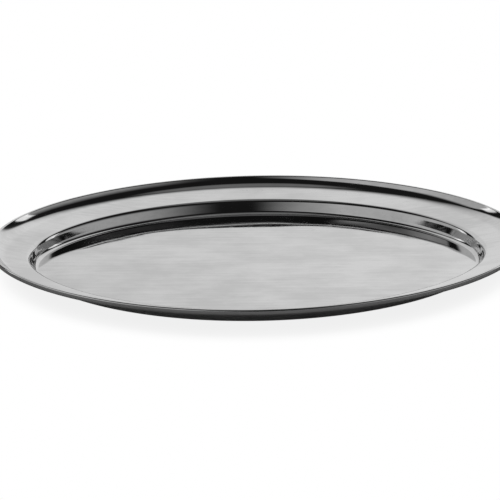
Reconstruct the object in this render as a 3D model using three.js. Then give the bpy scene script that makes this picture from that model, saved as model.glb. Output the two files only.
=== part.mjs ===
// Oval serving tray: one pressed sheet of stainless steel with a flat well, a steep wall, a wide dished
// flange and a rolled rim, and the steel wire that the rim is rolled around.
// Millimetres, +Z up, +X along the tray's length. The origin is the centre of the floor's underside.

import * as THREE from "three";

// Overall oval, over the rolled rim.
const TRAY_LENGTH = 500;
const TRAY_WIDTH = 350;
const SHOULDER_PINCH = 0.0106; // how far the oval's shoulders draw in from an ellipse, as a share

// The sheet and its cross-section, from the floor outwards. Angles are degrees up from level.
// The radii of bends are those of the skin that shows, and the rim's are those of its outside.
const SHEET = 0.8;
const WELL_DEPTH = 14; // from the flange's inner edge down to the floor
const FOOT_RADIUS = 5; // between the floor and the wall
const WALL_ANGLE = 76;
const WELL_EDGE_RADIUS = 5.5; // between the wall and the flange
const FLANGE_WIDTH = 33; // from the outside of the rim to where the flange bends down into the well
const FLANGE_ANGLE = 10;
const COVE_RADIUS = 16.5; // the flange's outer part curves up to the rim
const COVE_END_ANGLE = 68;
const CROWN_RADIUS = 1.5;
const LIP_DEPTH = 5.5; // from the crown down to the lowest point of the roll
const LIP_LEAN = 8; // the lip's bulged face leans this much either way from upright
const ROLL_GAP = 0.5; // from the rolled sheet's edge to the underside of the cove
const ROLL_OPEN_ANGLE = -300; // the sheet never turns further than this, so the roll stays open

// The wire inside the roll.
const WIRE_DIAMETER = 1.6;
const WIRE_CLEARANCE = 0.3;

// Facets: round the tray, round the wire, and in each bend of the cross-section.
const RING_SEGMENTS = 64;
const WIRE_SIDES = 8;
const BEND_STEPS = 4;
const COVE_STEPS = 5;
const CROWN_STEPS = 3;
const LIP_STEPS = 2;
const ROLL_STEPS = 6;

const HALF_LENGTH = TRAY_LENGTH / 2;
const HALF_WIDTH = TRAY_WIDTH / 2;
const HALF_SHEET = SHEET / 2;
const LIP_TOP_ANGLE = -90 + LIP_LEAN;
const LIP_BOTTOM_ANGLE = -90 - LIP_LEAN;

const radians = THREE.MathUtils.degToRad;

// Unit steps along the sheet, outwards, and across it, from its middle to its upper skin.
const along = (angle) => new THREE.Vector2(Math.cos(radians(angle)), Math.sin(radians(angle)));
const across = (angle) => new THREE.Vector2(-Math.sin(radians(angle)), Math.cos(radians(angle)));

// How far a bend of the sheet's middle goes, outwards and upwards, between two directions.
function bendTravel(radius, from, to) {
  const side = Math.sign(to - from) * radius;
  return across(from).sub(across(to)).multiplyScalar(side);
}

const travel = ({ radius, from, to }) => bendTravel(radius, from, to);

// The centre of a bend that starts at a point of the sheet's middle.
function bendCentre(start, { radius, from, to }) {
  return start.clone().addScaledVector(across(from), Math.sign(to - from) * radius);
}

// The sheet's bends from the floor outwards, by the radius of its middle, its directions and its steps.
const foot = {
  radius: FOOT_RADIUS + HALF_SHEET,
  from: 0,
  to: WALL_ANGLE,
  steps: BEND_STEPS,
};
const wellEdge = {
  radius: WELL_EDGE_RADIUS - HALF_SHEET,
  from: WALL_ANGLE,
  to: FLANGE_ANGLE,
  steps: BEND_STEPS,
};
const cove = {
  radius: COVE_RADIUS + HALF_SHEET,
  from: FLANGE_ANGLE,
  to: COVE_END_ANGLE,
  steps: COVE_STEPS,
};
const crownRise = {
  radius: CROWN_RADIUS - HALF_SHEET,
  from: COVE_END_ANGLE,
  to: 0,
  steps: CROWN_STEPS,
};
const crownFall = {
  radius: CROWN_RADIUS - HALF_SHEET,
  from: 0,
  to: LIP_TOP_ANGLE,
  steps: CROWN_STEPS,
};
const lip = {
  radius: 0,
  from: LIP_TOP_ANGLE,
  to: LIP_BOTTOM_ANGLE,
  steps: LIP_STEPS,
};
const roll = {
  radius: WIRE_DIAMETER / 2 + WIRE_CLEARANCE + HALF_SHEET,
  from: LIP_BOTTOM_ANGLE,
  to: ROLL_OPEN_ANGLE,
  steps: ROLL_STEPS,
};

// The lip's bulge has the radius that makes the rim LIP_DEPTH deep, from the crown to the roll.
const rollDrop = -bendTravel(roll.radius, roll.from, -180).y;
const unitBulgeDrop = -bendTravel(1, lip.from, lip.to).y;
lip.radius = (LIP_DEPTH - SHEET + travel(crownFall).y - rollDrop) / unitBulgeDrop;

// The crown is as wide as the wire below it needs to stay clear of the cove's underside: where its two
// bends don't make it so, a level stretch lies between them. These are the wire's centre as seen from
// the centre of the cove's bend, and the distance that it must keep.
const wireFromCove = travel(crownRise)
  .add(travel(crownFall))
  .add(travel(lip))
  .addScaledVector(across(cove.to), -cove.radius)
  .addScaledVector(across(roll.from), -roll.radius);
const wireRoom = COVE_RADIUS + SHEET + WIRE_CLEARANCE + WIRE_DIAMETER / 2;
const crownLength = Math.max(0, Math.sqrt(wireRoom ** 2 - wireFromCove.y ** 2) - wireFromCove.x);

// The straight stretches that the well's depth and the flange's width leave between the bends.
const wallLength = (WELL_DEPTH - travel(foot).y - travel(wellEdge).y) / along(WALL_ANGLE).y;
const rimRun =
  travel(cove).x +
  travel(crownRise).x +
  crownLength +
  travel(crownFall).x +
  bendTravel(lip.radius, lip.from, -90).x +
  HALF_SHEET;
const flangeLength = (FLANGE_WIDTH - rimRun) / along(FLANGE_ANGLE).x;

// How far the outside of the rim is from the foot of the wall.
const RIM_OUT =
  travel(foot).x + wallLength * along(WALL_ANGLE).x + travel(wellEdge).x + FLANGE_WIDTH;

// The direction in which the rolled sheet ends, ROLL_GAP short of the underside of the cove.
function rollEnd(rollCentre, coveCentre) {
  const clear = COVE_RADIUS + SHEET + ROLL_GAP;
  const skin = roll.radius + HALF_SHEET;
  let angle = -180;
  while (angle > ROLL_OPEN_ANGLE) {
    const edge = rollCentre.clone().addScaledVector(across(angle - 1), skin);
    if (edge.distanceTo(coveCentre) < clear) break;
    angle -= 1;
  }
  return angle;
}

// Walks along the middle of the sheet from the foot of the wall to the end of the roll. A point has its
// place, as a distance out from the foot and a height over the floor's underside, and its direction.
function walkSheet() {
  const points = [{ at: new THREE.Vector2(0, HALF_SHEET), angle: 0 }];
  const last = () => points[points.length - 1];

  const straight = (length) => {
    const { at, angle } = last();
    if (length > 0) points.push({ at: at.clone().addScaledVector(along(angle), length), angle });
  };

  const bend = ({ radius, from, to, steps }) => {
    const start = last().at;
    for (let i = 1; i <= steps; i++) {
      const angle = from + ((to - from) * i) / steps;
      points.push({ at: start.clone().add(bendTravel(radius, from, angle)), angle });
    }
  };

  bend(foot);
  straight(wallLength);
  bend(wellEdge);
  straight(flangeLength);
  const coveCentre = bendCentre(last().at, cove);
  bend(cove);
  bend(crownRise);
  straight(crownLength);
  bend(crownFall);
  bend(lip);
  const rollCentre = bendCentre(last().at, roll);
  bend({ ...roll, to: rollEnd(rollCentre, coveCentre) });
  return { points, rollCentre };
}

const sheet = walkSheet();

// The tray's oval at parameter t, drawn in by inset at right angles to itself.
function ovalPoint(t, inset) {
  const draw = 1 - SHOULDER_PINCH * Math.sin(2 * t) ** 2;
  const drawRate = -2 * SHOULDER_PINCH * Math.sin(4 * t);
  const x = HALF_LENGTH * Math.cos(t);
  const y = HALF_WIDTH * Math.sin(t);
  const alongX = -HALF_LENGTH * Math.sin(t) * draw + x * drawRate;
  const alongY = HALF_WIDTH * Math.cos(t) * draw + y * drawRate;
  const length = Math.hypot(alongX, alongY);
  return new THREE.Vector2(
    x * draw - (inset * alongY) / length,
    y * draw + (inset * alongX) / length,
  );
}

// Turns a cross-section once round the tray. Its points are distances out from the foot of the wall and
// heights; null stands for the tray's middle at the height of the point beside it.
function sweepRound(section) {
  const profile = section.map(({ out, height }) =>
    new THREE.Vector2(out === null ? 0 : HALF_WIDTH - RIM_OUT + out, height),
  );
  const geometry = new THREE.LatheGeometry(profile, RING_SEGMENTS);
  geometry.rotateX(Math.PI / 2);
  const position = geometry.getAttribute("position");
  for (let i = 0; i < position.count; i++) {
    const radius = Math.hypot(position.getX(i), position.getY(i));
    if (radius < SHEET) continue;
    const t = Math.atan2(position.getY(i), position.getX(i));
    const point = ovalPoint(t, HALF_WIDTH - radius);
    position.setXY(i, point.x, point.y);
  }
  geometry.computeVertexNormals();
  return geometry;
}

// The points of the cross-section on one skin of the sheet: side is 1 on the upper skin, -1 on the lower.
function skin(side) {
  return sheet.points.map(({ at, angle }) => {
    const point = at.clone().addScaledVector(across(angle), side * HALF_SHEET);
    return { out: point.x, height: point.y };
  });
}

// The pressed sheet: floor, wall, flange, cove, crown, lip and roll.
function trayPan() {
  const section = [
    { out: null, height: 0 },
    ...skin(-1),
    ...skin(1).reverse(),
    { out: null, height: SHEET },
  ];
  const polishedSteel = new THREE.MeshStandardMaterial({
    color: 0xc9cbcc,
    metalness: 1,
    roughness: 0.12,
  });
  return new THREE.Mesh(sweepRound(section), polishedSteel);
}

// The wire, a ring that follows the rim in the middle of the roll.
function rimWire() {
  const section = [];
  for (let i = 0; i <= WIRE_SIDES; i++) {
    const point = along((360 * i) / WIRE_SIDES).multiplyScalar(WIRE_DIAMETER / 2);
    section.push({ out: sheet.rollCentre.x + point.x, height: sheet.rollCentre.y + point.y });
  }
  const drawnSteel = new THREE.MeshStandardMaterial({
    color: 0x9a9c9e,
    metalness: 1,
    roughness: 0.45,
  });
  return new THREE.Mesh(sweepRound(section), drawnSteel);
}

const tray = new THREE.Group();
for (const [name, make] of Object.entries({ tray_pan: trayPan, rim_wire: rimWire })) {
  const mesh = make();
  mesh.name = name;
  tray.add(mesh);
}

export default tray;
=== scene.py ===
"""An oval serving tray of polished stainless steel, laid out as a Blender add-on.

The tray is one pressed sheet with a rolled rim around a steel wire. Its cross-section is walked from bend
to bend, and Geometry Nodes sweep it round an oval. Lengths are metres, angles in the walk are degrees.
"""

import math

import bpy
from bpy.props import FloatProperty, FloatVectorProperty, IntProperty, PointerProperty
from mathutils import Matrix, Vector


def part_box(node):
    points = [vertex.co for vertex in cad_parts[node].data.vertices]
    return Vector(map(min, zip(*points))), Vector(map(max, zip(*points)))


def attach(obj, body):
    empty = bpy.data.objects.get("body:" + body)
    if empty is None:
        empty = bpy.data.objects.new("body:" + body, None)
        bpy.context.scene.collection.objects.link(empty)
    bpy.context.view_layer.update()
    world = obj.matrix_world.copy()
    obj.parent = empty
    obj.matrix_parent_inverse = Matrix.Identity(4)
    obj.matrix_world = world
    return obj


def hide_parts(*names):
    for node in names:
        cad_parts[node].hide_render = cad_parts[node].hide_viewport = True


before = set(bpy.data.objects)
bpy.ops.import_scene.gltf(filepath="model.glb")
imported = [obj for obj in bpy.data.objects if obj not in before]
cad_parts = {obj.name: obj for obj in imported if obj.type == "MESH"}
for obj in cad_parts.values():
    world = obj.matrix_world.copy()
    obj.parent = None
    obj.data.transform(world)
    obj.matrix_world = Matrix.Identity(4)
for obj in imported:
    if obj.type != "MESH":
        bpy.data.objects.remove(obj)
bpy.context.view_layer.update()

bl_info = {
    "name": "Oval Serving Tray",
    "version": (1, 0, 0),
    "blender": (4, 5, 0),
    "location": "3D View > Sidebar > Tray",
    "description": "Builds a pressed steel serving tray with a rolled, wired rim, and a small studio",
    "category": "Add Mesh",
}

PAN_LOW, PAN_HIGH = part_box("tray_pan")

MM = 0.001
UP = Vector((0, 0, 1))
WIDE_BEND_STEP = 3.0  # degrees of bend for one facet where the sheet bends wide, as in the cove
TIGHT_BEND_STEP = 6.0  # and where it bends tight, as in the crown and the roll
ROLL_OPEN_ANGLE = -300  # degrees: the sheet never turns further than this, so the roll stays open
FLOOR_RINGS = (0.0, 0.35, 0.7, 0.9, 0.985)  # rings of the flat floor, as shares of its outline
STRAIGHT_SHARES = (0.08, 0.5, 0.92)  # points along a straight stretch of the section
WIRE_FACETS = 20
CLOSE = 0.005 * MM  # points nearer than this are one, at the seam and the poles

# The camera looks at this point in the plane of the well's edge. The point turns with the camera.
CAMERA_AIM = Vector((-5.1, -2.5, 0)) * MM
SENSOR = 36.0  # width of the camera's sensor, in millimetres
FLOOR_REACH = 6.0  # from the tray to each side of the floor
FLOOR_DROP = 0.05 * MM  # the floor lies a hair below the tray, so that their faces don't coincide
SHADOW_REACH = 30 * MM  # how far from the tray its soft shadow reaches
SHADOW_TONE = 0.86  # the floor's brightness at the heart of the shadow
SHADOW_SPAN = (0.2, 0.8)  # how open the floor is to the sky at the shadow's heart, and at its edge


def linear(hex_colour):
    """An sRGB colour such as 0xC8C9CA as linear RGBA."""
    shares = [(hex_colour >> shift & 255) / 255 for shift in (16, 8, 0)]
    return [s / 12.92 if s <= 0.04045 else ((s + 0.055) / 1.055) ** 2.4 for s in shares] + [1.0]


def length_property(name, description, millimetres):
    """A length with its default in millimetres."""
    return FloatProperty(
        name=name, description=description, default=millimetres * MM, unit="LENGTH", precision=5
    )


def angle_property(name, description, degrees):
    """An angle with its default in degrees."""
    return FloatProperty(
        name=name, description=description, default=math.radians(degrees), unit="ROTATION"
    )


def share_property(name, description, share):
    """A number from 0 to 1."""
    return FloatProperty(
        name=name, description=description, default=share, min=0, max=1, subtype="FACTOR"
    )


def in_degrees(angle):
    """An angle property in degrees, without the rounding of the property's single precision."""
    return round(math.degrees(angle), 3)


# ---------------------------------------------------------------- settings


class TraySizes(bpy.types.PropertyGroup):
    """The oval and the pressed sheet's cross-section."""

    length: FloatProperty(
        name="Length",
        description="Over the rolled rim, end to end",
        default=PAN_HIGH.x - PAN_LOW.x,
        unit="LENGTH",
    )
    width: FloatProperty(
        name="Width",
        description="Over the rolled rim, front to back",
        default=PAN_HIGH.y - PAN_LOW.y,
        unit="LENGTH",
    )
    pinch: FloatProperty(
        name="Shoulder Pinch",
        description="How far the oval's shoulders draw in from an ellipse, as a share",
        default=0.0106,
        precision=4,
    )
    segments: IntProperty(
        name="Segments", description="Facets once round the oval", default=304, min=16
    )
    sheet: length_property("Sheet", "Thickness of the steel", 0.8)
    well_depth: length_property("Well Depth", "From the flange's inner edge to the floor", 14.0)
    foot_radius: length_property("Foot Radius", "Bend between floor and wall", 5.0)
    wall_angle: angle_property("Wall Angle", "How far the wall stands up from level", 76)
    edge_radius: length_property("Well Edge Radius", "Bend between wall and flange", 5.5)
    flange_width: length_property("Flange Width", "From the rim's outside to the well's edge", 33.0)
    flange_angle: angle_property("Flange Angle", "How far the flange rises from level", 10)
    cove_radius: length_property("Cove Radius", "The flange's curve up to the rim", 16.5)
    cove_end: angle_property("Cove End", "The cove's slope where it meets the crown", 68)
    crown_radius: length_property("Crown Radius", "Bend over the top of the rim", 1.5)
    lip_depth: length_property("Lip Depth", "From the crown to the lowest point of the roll", 5.5)
    lip_lean: angle_property("Lip Lean", "How far the lip's face leans either way", 8)
    roll_gap: length_property("Roll Gap", "From the rolled edge to the cove's underside", 0.5)
    wire: length_property("Wire", "Diameter of the wire in the rim", 1.6)
    wire_clearance: length_property("Wire Clearance", "Between the wire and the roll", 0.3)


class TrayFinish(bpy.types.PropertyGroup):
    """Colours and polish."""

    steel: FloatVectorProperty(
        name="Polished Steel",
        description="Reflected colour of the polished sheet",
        default=linear(0xCBCBCB)[:3],
        subtype="COLOR",
        size=3,
    )
    wire: FloatVectorProperty(
        name="Drawn Wire",
        description="Reflected colour of the dull wire",
        default=linear(0x8F9092)[:3],
        subtype="COLOR",
        size=3,
    )
    polish: share_property("Polish", "Roughness of the steel's brightest parts", 0.03)
    haze: share_property("Haze", "How much rougher its haziest parts are", 0.05)
    scuff: share_property("Scuff", "How much rougher its scratches are", 0.16)
    underside: share_property("Underside", "How much rougher the pan is underneath", 0.18)
    waviness: length_property("Waviness", "Height of the slow waves in the pressed sheet", 0.6)


class TrayStudio(bpy.types.PropertyGroup):
    """Floor, light and camera."""

    distance: FloatProperty(
        name="Distance", description="From the camera to the tray", default=1.41, unit="LENGTH"
    )
    elevation: angle_property("Elevation", "How far the camera looks down on the tray", 21.5)
    turn: angle_property("Turn", "How far the camera stands round to the right of the front", 3.75)
    tilt: angle_property("Tilt", "How far the camera leans over to its left", -1.81)
    lens: FloatProperty(
        name="Lens", description="Focal length in millimetres", default=108.0, unit="CAMERA"
    )
    floor: FloatVectorProperty(
        name="Floor",
        description="Colour of the pale floor as the steel reflects it",
        default=linear(0xB2B2B2)[:3],
        subtype="COLOR",
        size=3,
    )


# ---------------------------------------------------------------- cross-section


def along(angle):
    """A unit step along the sheet, at so many degrees up from outwards."""
    return Vector((math.cos(math.radians(angle)), math.sin(math.radians(angle))))


def across(angle):
    """A unit step from the sheet's middle to its upper skin."""
    return Vector((-math.sin(math.radians(angle)), math.cos(math.radians(angle))))


class Bend:
    """A bend of the sheet's middle, by its radius and the directions that it joins."""

    def __init__(self, radius, start, end, step=TIGHT_BEND_STEP):
        self.radius, self.start, self.end, self.step = radius, start, end, step

    def travel(self, start=None, end=None):
        """How far it goes, outwards and upwards, from one direction to another."""
        start = self.start if start is None else start
        end = self.end if end is None else end
        return (across(start) - across(end)) * math.copysign(self.radius, end - start)

    def centre(self, at):
        """Its centre, where it starts at a given point."""
        return at + across(self.start) * math.copysign(self.radius, self.end - self.start)


def walk_sheet(sizes):
    """The sheet's middle from the foot of the wall outwards, as points with their directions, with the
    distance from the foot to the rim's outside and the centre of the wire."""
    half = sizes.sheet / 2
    wall_angle, flange_angle = in_degrees(sizes.wall_angle), in_degrees(sizes.flange_angle)
    cove_end, lip_lean = in_degrees(sizes.cove_end), in_degrees(sizes.lip_lean)
    lip_top, lip_bottom = -90 + lip_lean, -90 - lip_lean
    foot = Bend(sizes.foot_radius + half, 0, wall_angle, WIDE_BEND_STEP)
    edge = Bend(sizes.edge_radius - half, wall_angle, flange_angle, WIDE_BEND_STEP)
    cove = Bend(sizes.cove_radius + half, flange_angle, cove_end, WIDE_BEND_STEP)
    crown = Bend(sizes.crown_radius - half, cove_end, lip_top)
    roll_radius = sizes.wire / 2 + sizes.wire_clearance + half
    roll = Bend(roll_radius, lip_bottom, ROLL_OPEN_ANGLE)
    drop = sizes.lip_depth - sizes.sheet + crown.travel(0).y + roll.travel(end=-180).y
    lip = Bend(drop / -Bend(1, lip_top, lip_bottom).travel().y, lip_top, lip_bottom)

    # the straight stretches of wall and flange that the well's depth and the flange's width leave
    bends = foot.travel() + edge.travel()
    wall = (sizes.well_depth - bends.y) / along(wall_angle).y
    rim = cove.travel().x + crown.travel().x + lip.travel(end=-90).x + half
    flange = (sizes.flange_width - rim) / along(flange_angle).x
    rim_out = bends.x + wall * along(wall_angle).x + sizes.flange_width

    points = [(Vector((0, half)), 0.0)]

    def straight(length):
        at, angle = points[-1]
        points.extend((at + along(angle) * length * share, angle) for share in STRAIGHT_SHARES)
        points.append((at + along(angle) * length, angle))

    def bend(shape):
        at = points[-1][0]
        steps = math.ceil(abs(shape.end - shape.start) / shape.step)
        for i in range(1, steps + 1):
            angle = shape.start + (shape.end - shape.start) * i / steps
            points.append((at + shape.travel(end=angle), angle))

    bend(foot)
    straight(wall)
    bend(edge)
    straight(flange)
    cove_centre = cove.centre(points[-1][0])
    bend(cove)
    bend(crown)
    bend(lip)
    wire_centre = roll.centre(points[-1][0])

    # the roll goes on until its edge is the gap away from the cove's underside
    clear = sizes.cove_radius + sizes.sheet + sizes.roll_gap
    end = -180
    while end > roll.end:
        rolled_edge = wire_centre + across(end - 1) * (roll_radius + half)
        if (rolled_edge - cove_centre).length < clear:
            break
        end -= 1
    roll.end = end
    bend(roll)
    return points, rim_out, wire_centre


def pan_section(sizes):
    """Points of the closed section as (inset from the rim's outside, share of the outline, height):
    out along the lower skin from the tray's middle, and back along the upper skin."""
    points, rim_out, _ = walk_sheet(sizes)

    def skin(side):
        for at, angle in points:
            place = at + across(angle) * side * sizes.sheet / 2
            yield (rim_out - place.x, 1.0, place.y)

    floor = [(rim_out, share, 0.0) for share in FLOOR_RINGS]
    top = [(inset, share, sizes.sheet) for inset, share, _ in reversed(floor)]
    return floor + list(skin(-1)) + list(skin(1))[::-1] + top


def wire_section(sizes):
    """Points of the wire's round section, in the form of pan_section."""
    _, rim_out, centre = walk_sheet(sizes)
    section = []
    for i in range(WIRE_FACETS + 1):
        place = centre + along(360 * (i % WIRE_FACETS) / WIRE_FACETS) * sizes.wire / 2
        section.append((rim_out - place.x, 1.0, place.y))
    return section


# ---------------------------------------------------------------- nodes


def add(tree, kind, inputs=None, **settings):
    """Adds a node with its settings. An input, by name or number, is a value, another node's output, or
    another node, which stands for its first output."""
    node = tree.nodes.new(kind)
    for name, value in settings.items():
        setattr(node, name, value)
    for key, value in (inputs or {}).items():
        named = [socket for socket in node.inputs if socket.enabled and socket.name == key]
        socket = named[0] if named else node.inputs[key]
        if isinstance(value, bpy.types.Node):
            value = value.outputs[0]
        if isinstance(value, bpy.types.NodeSocket):
            tree.links.new(value, socket)
        else:
            socket.default_value = value
    return node


def sweep_tree(material):
    """Geometry Nodes that sweep a section once round the oval. The section is a mesh whose points hold,
    in order, (inset from the oval, share of the outline, height)."""
    tree = bpy.data.node_groups.new("Sweep Round Oval", "GeometryNodeTree")
    face = tree.interface
    face.new_socket("Section", in_out="INPUT", socket_type="NodeSocketGeometry")
    for name, kind in (
        ("Length", "NodeSocketFloat"),
        ("Width", "NodeSocketFloat"),
        ("Shoulder Pinch", "NodeSocketFloat"),
        ("Segments", "NodeSocketInt"),
    ):
        face.new_socket(name, in_out="INPUT", socket_type=kind)
    face.new_socket("Swept", in_out="OUTPUT", socket_type="NodeSocketGeometry")
    given = add(tree, "NodeGroupInput").outputs
    scalar, vector = "ShaderNodeMath", "ShaderNodeVectorMath"

    # a grid with one row for each point of the section, and one column for each step round the oval
    count = add(
        tree, "GeometryNodeAttributeDomainSize", {"Geometry": given["Section"]}, component="MESH"
    )
    columns = add(tree, scalar, {0: given["Segments"], 1: 1.0}, operation="ADD")
    grid = add(
        tree,
        "GeometryNodeMeshGrid",
        {"Vertices X": count.outputs["Point Count"], "Vertices Y": columns},
    )
    index = add(tree, "GeometryNodeInputIndex")
    middle = add(tree, scalar, {0: index, 1: 0.5}, operation="ADD")
    rows = add(tree, scalar, {0: middle, 1: columns}, operation="DIVIDE")
    row = add(tree, scalar, {0: rows}, operation="FLOOR")
    column = add(tree, scalar, {0: index, 1: columns}, operation="FLOORED_MODULO")
    point = add(
        tree,
        "GeometryNodeSampleIndex",
        {
            "Geometry": given["Section"],
            "Value": add(tree, "GeometryNodeInputPosition"),
            "Index": row,
        },
        data_type="FLOAT_VECTOR",
    )
    inset, share, height = add(tree, "ShaderNodeSeparateXYZ", {0: point}).outputs

    # the ellipse, and its rate of change once round
    turn = add(tree, scalar, {0: column, 1: given["Segments"]}, operation="DIVIDE")
    t = add(tree, scalar, {0: turn, 1: math.tau}, operation="MULTIPLY")
    cosine = add(tree, scalar, {0: t}, operation="COSINE")
    sine = add(tree, scalar, {0: t}, operation="SINE")
    minus_sine = add(tree, scalar, {0: sine, 1: -1.0}, operation="MULTIPLY")
    size = add(tree, "ShaderNodeCombineXYZ", {"X": given["Length"], "Y": given["Width"]})
    half_size = add(tree, vector, {0: size, "Scale": 0.5}, operation="SCALE")
    circle = add(tree, "ShaderNodeCombineXYZ", {"X": cosine, "Y": sine})
    circle_rate = add(tree, "ShaderNodeCombineXYZ", {"X": minus_sine, "Y": cosine})
    ellipse = add(tree, vector, {0: half_size, 1: circle}, operation="MULTIPLY")
    ellipse_rate = add(tree, vector, {0: half_size, 1: circle_rate}, operation="MULTIPLY")

    # drawn in at its four shoulders
    twice = add(tree, scalar, {0: t, 1: 2.0}, operation="MULTIPLY")
    wave = add(tree, scalar, {0: twice}, operation="SINE")
    shoulder = add(tree, scalar, {0: wave, 1: wave}, operation="MULTIPLY")
    drawn_in = add(tree, scalar, {0: given["Shoulder Pinch"], 1: shoulder}, operation="MULTIPLY")
    draw = add(tree, scalar, {0: 1.0, 1: drawn_in}, operation="SUBTRACT")
    four_times = add(tree, scalar, {0: t, 1: 4.0}, operation="MULTIPLY")
    wave_rate = add(tree, scalar, {0: four_times}, operation="SINE")
    pinch_rate = add(tree, scalar, {0: given["Shoulder Pinch"], 1: -2.0}, operation="MULTIPLY")
    draw_rate = add(tree, scalar, {0: pinch_rate, 1: wave_rate}, operation="MULTIPLY")
    outline = add(tree, vector, {0: ellipse, "Scale": draw.outputs[0]}, operation="SCALE")
    rate_1 = add(tree, vector, {0: ellipse_rate, "Scale": draw.outputs[0]}, operation="SCALE")
    rate_2 = add(tree, vector, {0: ellipse, "Scale": draw_rate.outputs[0]}, operation="SCALE")
    tangent = add(tree, vector, {0: rate_1, 1: rate_2}, operation="ADD")

    # each point of the section stands at its inset from that outline, and at its height
    sideways = add(tree, vector, {0: tangent, 1: UP}, operation="CROSS_PRODUCT")
    outward = add(tree, vector, {0: sideways}, operation="NORMALIZE")
    drawn = add(tree, vector, {0: outward, "Scale": inset}, operation="SCALE")
    ring = add(tree, vector, {0: outline, 1: drawn}, operation="SUBTRACT")
    flat = add(tree, vector, {0: ring, "Scale": share}, operation="SCALE")
    lift = add(tree, "ShaderNodeCombineXYZ", {"Z": height})
    place = add(tree, vector, {0: flat, 1: lift}, operation="ADD")
    swept = add(tree, "GeometryNodeSetPosition", {"Geometry": grid, "Position": place})

    # close the seam and the two poles, turn the faces outwards, and finish
    closed = add(tree, "GeometryNodeMergeByDistance", {"Geometry": swept, "Distance": CLOSE})
    outwards = add(tree, "GeometryNodeFlipFaces", {"Mesh": closed})
    smooth = add(tree, "GeometryNodeSetShadeSmooth", {"Geometry": outwards})
    real = add(tree, "GeometryNodeRealizeInstances", {0: smooth})
    painted = add(tree, "GeometryNodeSetMaterial", {"Geometry": real, "Material": material})
    add(tree, "NodeGroupOutput", {"Swept": painted})
    return tree


def sweep(name, section, sizes, material):
    """A plain mesh object made by sweeping a section round the tray's oval."""
    mesh = bpy.data.meshes.new(name + "_section")
    mesh.from_pydata(section, [(i, i + 1) for i in range(len(section) - 1)], [])
    source = bpy.data.objects.new(name + "_section", mesh)
    bpy.context.collection.objects.link(source)
    modifier = source.modifiers.new("Sweep", "NODES")
    modifier.node_group = sweep_tree(material)
    values = {
        "Length": sizes.length,
        "Width": sizes.width,
        "Shoulder Pinch": sizes.pinch,
        "Segments": sizes.segments,
    }
    for item in modifier.node_group.interface.items_tree:
        if item.in_out == "INPUT" and item.name in values:
            modifier[item.identifier] = values[item.name]
    depsgraph = bpy.context.evaluated_depsgraph_get()
    swept = bpy.data.meshes.new_from_object(source.evaluated_get(depsgraph))
    source.modifiers.remove(modifier)
    bpy.data.objects.remove(source)
    if not swept.polygons:
        raise RuntimeError(f"{name}: the sweep made no faces")
    swept.name = name
    piece = bpy.data.objects.new(name, swept)
    bpy.context.collection.objects.link(piece)
    return piece


# ---------------------------------------------------------------- materials


def new_material(name):
    """An empty node material and its tree."""
    material = bpy.data.materials.new(name)
    material.use_nodes = True
    material.node_tree.nodes.clear()
    return material, material.node_tree


def in_millimetres(tree):
    """The piece's own coordinates, in millimetres."""
    place = add(tree, "ShaderNodeTexCoord").outputs["Object"]
    return add(tree, "ShaderNodeVectorMath", {0: place, "Scale": 1 / MM}, operation="SCALE")


def grain(tree, place, length, width, detail=3.0, roughness=0.55):
    """A noise whose marks are about so many millimetres long, along the tray, and wide."""
    size = (1 / length, 1 / width, 1 / width)
    stretched = add(tree, "ShaderNodeMapping", {"Vector": place, "Scale": size})
    return add(
        tree,
        "ShaderNodeTexNoise",
        {"Vector": stretched, "Scale": 1.0, "Detail": detail, "Roughness": roughness},
    )


def toned(colour, share):
    """A colour as RGBA, so many times as bright."""
    return [part * share for part in colour] + [1.0]


CLOUD_WEIGHT = 2.2  # how strong the clouds in the polish are next to its lines
TONE_SPREAD = (1.3, 1.9)  # clouds and lines added up, where the steel is darkest and brightest
HAZE_SPREAD = (1.4, 2.0)  # and where it is clearest and haziest
DARKEST, BRIGHTEST = 0.9, 1.07
LINE_HEIGHT = 0.0012 * MM  # of the belt's lines
SCRATCH_BEND = 14.0  # millimetres that scratches may stray
SCRATCH_EDGE = 0.02  # where a scratch has died away, as a share of its cell
SCRATCH_SPREAD = (0.52, 0.64)  # the noise of the patches, where scratches begin and where all show
BELOW_SPREAD = (-0.25, -0.5)  # the upward part of the normal, where the underside begins and is whole


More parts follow.
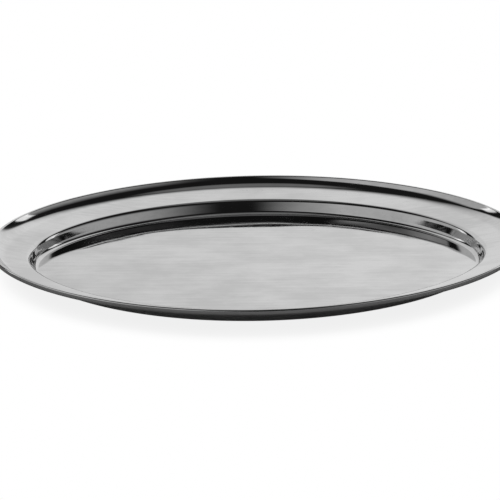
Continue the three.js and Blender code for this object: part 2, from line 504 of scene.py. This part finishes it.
def polished_stainless(finish):
    """Stainless steel sheet, rolled, pressed and belt-polished bright. The eye gets a mirror with soft
    clouds and faint lines along the tray, slightly wavy reflections, hairline scratches where trays rub as
    they stack, and a duller underside that was never polished as far."""
    material, tree = new_material("polished_stainless_steel")
    place = in_millimetres(tree)
    scalar = "ShaderNodeMath"

    # the belt leaves lines under 0.1 mm apart. They are too fine to show, so bundles of them, 0.5 mm
    # and 3.4 mm wide, stand for them
    lines = grain(tree, place, 70, 3.4, 4.0, 0.6)
    clouds = grain(tree, place, 70, 44, 4.0, 0.6)
    fine_lines = grain(tree, place, 45, 0.5, 2.0)
    polish = add(tree, scalar, {0: clouds, 1: CLOUD_WEIGHT, 2: lines}, operation="MULTIPLY_ADD")
    tone = add(
        tree,
        "ShaderNodeMapRange",
        {"Value": polish, "From Min": TONE_SPREAD[0], "From Max": TONE_SPREAD[1]},
    )
    colour = add(
        tree,
        "ShaderNodeMix",
        {"Factor": tone, "A": toned(finish.steel, DARKEST), "B": toned(finish.steel, BRIGHTEST)},
        data_type="RGBA",
    )
    colour = colour.outputs["Result"]

    # hairline scratches are the edges of cells 26 mm long and 7 mm wide, bent a little
    cell_size = (1 / 26, 1 / 7, 1 / 7)
    bent = add(tree, "ShaderNodeTexNoise", {"Vector": place, "Scale": 0.03, "Detail": 1.0})
    bend = add(
        tree,
        "ShaderNodeVectorMath",
        {0: bent.outputs["Color"], "Scale": SCRATCH_BEND},
        operation="SCALE",
    )
    bent_place = add(tree, "ShaderNodeVectorMath", {0: place, 1: bend}, operation="ADD")
    scratch_place = add(tree, "ShaderNodeMapping", {"Vector": bent_place, "Scale": cell_size})
    cells = add(
        tree,
        "ShaderNodeTexVoronoi",
        {"Vector": scratch_place, "Scale": 1.0},
        feature="DISTANCE_TO_EDGE",
    )
    hairline = add(
        tree,
        "ShaderNodeMapRange",
        {"Value": cells, "From Max": SCRATCH_EDGE, "To Min": 1.0, "To Max": 0.0},
    )
    patches = grain(tree, place, 40, 25, 1.0)
    patch = add(
        tree,
        "ShaderNodeMapRange",
        {"Value": patches, "From Min": SCRATCH_SPREAD[0], "From Max": SCRATCH_SPREAD[1]},
    )
    scratches = add(tree, scalar, {0: hairline, 1: patch}, operation="MULTIPLY")

    # the underside faces down, and is duller
    normal = add(tree, "ShaderNodeNewGeometry").outputs["Normal"]
    facing = add(tree, "ShaderNodeSeparateXYZ", {0: normal}).outputs["Z"]
    below = add(
        tree,
        "ShaderNodeMapRange",
        {"Value": facing, "From Min": BELOW_SPREAD[0], "From Max": BELOW_SPREAD[1]},
    )
    haze = add(
        tree,
        "ShaderNodeMapRange",
        {
            "Value": polish,
            "From Min": HAZE_SPREAD[0],
            "From Max": HAZE_SPREAD[1],
            "To Min": finish.polish,
            "To Max": finish.polish + finish.haze,
        },
    )
    scuffed = add(tree, scalar, {0: scratches, 1: finish.scuff, 2: haze}, operation="MULTIPLY_ADD")
    roughness = add(
        tree, scalar, {0: below, 1: finish.underside, 2: scuffed}, operation="MULTIPLY_ADD"
    )

    # pressed sheet is never quite flat, so reflections waver a little
    waves = grain(tree, place, 110, 48, 1.0)
    wavy = add(
        tree,
        "ShaderNodeBump",
        {"Height": waves, "Strength": 1.0, "Distance": finish.waviness},
    )
    brushed = add(
        tree,
        "ShaderNodeBump",
        {"Height": fine_lines, "Strength": 1.0, "Distance": LINE_HEIGHT, "Normal": wavy},
    )
    shader = add(
        tree,
        "ShaderNodeBsdfPrincipled",
        {"Metallic": 1.0, "Base Color": colour, "Roughness": roughness, "Normal": brushed},
    )
    add(tree, "ShaderNodeOutputMaterial", {"Surface": shader})
    return material


SOAP_TONES = (0.6, 1.25)  # the wire's brightness under drawing soap, and where it is clean
SOAP_ROUGHNESS = (0.32, 0.55)  # its roughness in the same two places
DIE_MARK_HEIGHT = 0.01 * MM


def drawn_wire(finish):
    """Carbon steel wire, drawn through a die and left bare. The eye gets a dull grey with a fine grain of
    marks from the die, and darker patches of drawing soap."""
    material, tree = new_material("drawn_steel_wire")
    place = in_millimetres(tree)
    soap = add(tree, "ShaderNodeTexNoise", {"Vector": place, "Scale": 0.12, "Detail": 4.0})
    marks = add(tree, "ShaderNodeTexNoise", {"Vector": place, "Scale": 2.4, "Detail": 2.0})
    colour = add(
        tree,
        "ShaderNodeMix",
        {
            "Factor": soap,
            "A": toned(finish.wire, SOAP_TONES[0]),
            "B": toned(finish.wire, SOAP_TONES[1]),
        },
        data_type="RGBA",
    )
    roughness = add(
        tree,
        "ShaderNodeMapRange",
        {"Value": soap, "To Min": SOAP_ROUGHNESS[0], "To Max": SOAP_ROUGHNESS[1]},
    )
    marked = add(
        tree, "ShaderNodeBump", {"Height": marks, "Strength": 0.6, "Distance": DIE_MARK_HEIGHT}
    )
    shader = add(
        tree,
        "ShaderNodeBsdfPrincipled",
        {
            "Metallic": 1.0,
            "Base Color": colour.outputs["Result"],
            "Roughness": roughness,
            "Normal": marked,
        },
    )
    add(tree, "ShaderNodeOutputMaterial", {"Surface": shader})
    return material


# ---------------------------------------------------------------- operators


class TRAY_OT_pan(bpy.types.Operator):
    """Build the pressed sheet: floor, wall, flange, cove, crown, lip and roll"""

    bl_idname = "tray.pan"
    bl_label = "Pressed Pan"

    def execute(self, context):
        settings = context.scene
        material = polished_stainless(settings.tray_finish)
        section = pan_section(settings.tray_sizes)
        pan = sweep("pressed_pan", section, settings.tray_sizes, material)
        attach(pan, "root")
        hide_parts("tray_pan")
        return {"FINISHED"}


class TRAY_OT_rim_wire(bpy.types.Operator):
    """Build the wire that the rim is rolled around"""

    bl_idname = "tray.rim_wire"
    bl_label = "Rim Wire"

    def execute(self, context):
        settings = context.scene
        material = drawn_wire(settings.tray_finish)
        section = wire_section(settings.tray_sizes)
        wire = sweep("wire_ring", section, settings.tray_sizes, material)
        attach(wire, "root")
        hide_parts("rim_wire")
        return {"FINISHED"}


class TRAY_OT_studio(bpy.types.Operator):
    """Build the pale floor, the soft light and the camera"""

    bl_idname = "tray.studio"
    bl_label = "Studio"

    def execute(self, context):
        studio = context.scene.tray_studio
        sizes = context.scene.tray_sizes
        build_camera(context, studio, sizes)
        build_floor(context, studio)
        build_world(context)
        return {"FINISHED"}


def build_camera(context, studio, sizes):
    """The camera looks at the well's edge plane, a little off the tray's centre."""
    turn = Matrix.Rotation(studio.turn, 4, "Z")
    target = turn @ CAMERA_AIM + UP * (sizes.sheet + sizes.well_depth)
    back = turn @ Vector((0, -math.cos(studio.elevation), math.sin(studio.elevation)))
    data = bpy.data.cameras.new("camera")
    data.lens = studio.lens
    data.sensor_width = SENSOR
    camera = bpy.data.objects.new("camera", data)
    context.collection.objects.link(camera)
    look = back.to_track_quat("Z", "Y").to_matrix().to_4x4()
    lean = Matrix.Rotation(studio.tilt, 4, "Z")
    camera.matrix_world = Matrix.Translation(target + back * studio.distance) @ look @ lean
    context.scene.camera = camera


def build_floor(context, studio):
    """A plain pale floor. The camera sees it evenly lit, with a soft shadow round the tray."""
    material, tree = new_material("pale_floor")
    lit = add(
        tree, "ShaderNodeBsdfPrincipled", {"Base Color": [*studio.floor, 1.0], "Roughness": 0.8}
    )
    open_sky = add(tree, "ShaderNodeAmbientOcclusion", {"Distance": SHADOW_REACH}, samples=16)
    shade = add(
        tree,
        "ShaderNodeMapRange",
        {
            "Value": open_sky.outputs["AO"],
            "From Min": SHADOW_SPAN[0],
            "From Max": SHADOW_SPAN[1],
            "To Min": SHADOW_TONE,
            "To Max": 1.0,
        },
        interpolation_type="SMOOTHSTEP",
    )
    seen = add(tree, "ShaderNodeEmission", {"Color": [1, 1, 1, 1], "Strength": shade})
    camera_ray = add(tree, "ShaderNodeLightPath").outputs["Is Camera Ray"]
    surface = add(tree, "ShaderNodeMixShader", {0: camera_ray, 1: lit, 2: seen})
    add(tree, "ShaderNodeOutputMaterial", {"Surface": surface})
    mesh = bpy.data.meshes.new("floor")
    corners = [(x * FLOOR_REACH, y * FLOOR_REACH, 0) for x, y in ((-1, -1), (1, -1), (1, 1), (-1, 1))]
    mesh.from_pydata(corners, [], [(0, 1, 2, 3)])
    mesh.materials.append(material)
    floor = bpy.data.objects.new("floor", mesh)
    floor.location.z = -FLOOR_DROP
    context.collection.objects.link(floor)


# The studio's soft lights, as panels far away. A panel faces the tray from so many degrees round from
# behind it, to the right, and leans over it by its lean. Across it, light comes up over the first pair of
# slopes and dies away over the second, and it fades upwards over the third. A slope is a distance across
# or up the panel over its distance from the tray.
PANELS = (
    # name, round, lean, left edge, right edge, top edge, strength
    ("backdrop", 0, 15.5, (-1.38, -1.1), (0.77, 1.05), (0.8, 2.0), 1.0),
    ("backdrop_glow", 20, 15.5, (-0.7, -0.1), (0.1, 0.7), (1.0, 2.0), 0.18),
    ("left_softbox", -130, 0, (-1.24, -0.23), (0.09, 0.47), (0.93, 1.13), 0.70),
    ("left_side_softbox", -100, 0, (-0.47, -0.09), (0.44, 0.54), (0.76, 1.14), 0.70),
    ("right_softbox", 130, 0, (-1.6, -1.4), (-0.05, 0.8), (0.2, 1.25), 0.55),
    ("left_strip", -73, 0, (-0.1, -0.04), (0.04, 0.1), (0.45, 0.6), 1.3),
    ("right_strip", 70, 0, (-0.15, -0.09), (0.09, 0.15), (0.5, 0.7), 1.4),
)
DARK_STUDIO = 0.015  # light from everywhere else
CEILING = 0.24  # light from straight above
CEILING_EDGE = (0.95, 0.988)  # heights on a sphere of radius 1, between which that light comes up
LEAST_DEPTH = 0.001  # keeps the slopes finite for what lies beside or behind a panel


def build_world(context):
    """The studio's light: soft panels round the tray in a dark room. The camera sees the room as pale."""
    world = bpy.data.worlds.new("studio")
    context.scene.world = world
    world.use_nodes = True
    tree = world.node_tree
    tree.nodes.clear()
    scalar, vector = "ShaderNodeMath", "ShaderNodeVectorMath"
    direction = add(tree, "ShaderNodeTexCoord").outputs["Generated"]
    up = add(tree, vector, {0: direction, 1: UP}, operation="DOT_PRODUCT").outputs["Value"]
    light = add(
        tree,
        "ShaderNodeMapRange",
        {
            "Value": up,
            "From Min": CEILING_EDGE[0],
            "From Max": CEILING_EDGE[1],
            "To Min": DARK_STUDIO,
            "To Max": CEILING,
        },
        interpolation_type="SMOOTHSTEP",
    )
    for name, turn, lean, left, right, top, strength in PANELS:
        facing = Matrix.Rotation(math.radians(-turn), 3, "Z")
        toward = facing @ Vector((0, 1, math.tan(math.radians(lean))))
        frame_node = add(tree, "NodeFrame", label=name)
        before = set(tree.nodes)
        depth = add(tree, vector, {0: direction, 1: toward}, operation="DOT_PRODUCT").outputs["Value"]
        depth = add(tree, scalar, {0: depth, 1: LEAST_DEPTH}, operation="MAXIMUM")
        sideways = facing @ Vector((1, 0, 0))
        side = add(tree, vector, {0: direction, 1: sideways}, operation="DOT_PRODUCT").outputs["Value"]
        side = add(tree, scalar, {0: side, 1: depth}, operation="DIVIDE")
        rise = add(tree, scalar, {0: up, 1: depth}, operation="DIVIDE")
        glow = strength
        for value, (start, end), lit_after in ((side, left, 1.0), (side, right, 0.0), (rise, top, 0.0)):
            fade = add(
                tree,
                "ShaderNodeMapRange",
                {
                    "Value": value,
                    "From Min": start,
                    "From Max": end,
                    "To Min": 1.0 - lit_after,
                    "To Max": lit_after,
                },
                interpolation_type="SMOOTHSTEP",
            )
            glow = add(tree, scalar, {0: glow, 1: fade}, operation="MULTIPLY")
        light = add(tree, scalar, {0: light, 1: glow}, operation="ADD")
        for node in set(tree.nodes) - before:
            node.parent = frame_node
    camera_ray = add(tree, "ShaderNodeLightPath").outputs["Is Camera Ray"]
    lit = add(tree, "ShaderNodeBackground", {"Strength": light})
    seen = add(tree, "ShaderNodeBackground", {"Color": [1, 1, 1, 1], "Strength": 1.0})
    surface = add(tree, "ShaderNodeMixShader", {0: camera_ray, 1: lit, 2: seen})
    add(tree, "ShaderNodeOutputWorld", {"Surface": surface})
    context.scene.view_settings.view_transform = "Standard"


# ---------------------------------------------------------------- panel


class TRAY_PT_panel(bpy.types.Panel):
    """Lists the tray's settings and the operators that build it"""

    bl_label = "Serving Tray"
    bl_idname = "TRAY_PT_panel"
    bl_space_type = "VIEW_3D"
    bl_region_type = "UI"
    bl_category = "Tray"

    def draw(self, context):
        for group in ("tray_sizes", "tray_finish", "tray_studio"):
            settings = getattr(context.scene, group)
            box = self.layout.box()
            for name in settings.bl_rna.properties.keys():
                if name not in ("rna_type", "name"):
                    box.prop(settings, name)
        for operator in OPERATORS:
            self.layout.operator(operator.bl_idname)


OPERATORS = (TRAY_OT_pan, TRAY_OT_rim_wire, TRAY_OT_studio)
SETTINGS = {"tray_sizes": TraySizes, "tray_finish": TrayFinish, "tray_studio": TrayStudio}


def register():
    """Adds the settings, the operators and the panel to Blender."""
    for item in (*SETTINGS.values(), *OPERATORS, TRAY_PT_panel):
        bpy.utils.register_class(item)
    for name, group in SETTINGS.items():
        setattr(bpy.types.Scene, name, PointerProperty(type=group))


def unregister():
    """Takes them out again."""
    for name in SETTINGS:
        delattr(bpy.types.Scene, name)
    for item in (TRAY_PT_panel, *reversed(OPERATORS), *reversed(SETTINGS.values())):
        bpy.utils.unregister_class(item)


def main():
    """Builds the tray and its studio."""
    register()
    bpy.ops.tray.pan()
    bpy.ops.tray.rim_wire()
    bpy.ops.tray.studio()


if __name__ == "__main__":
    main()
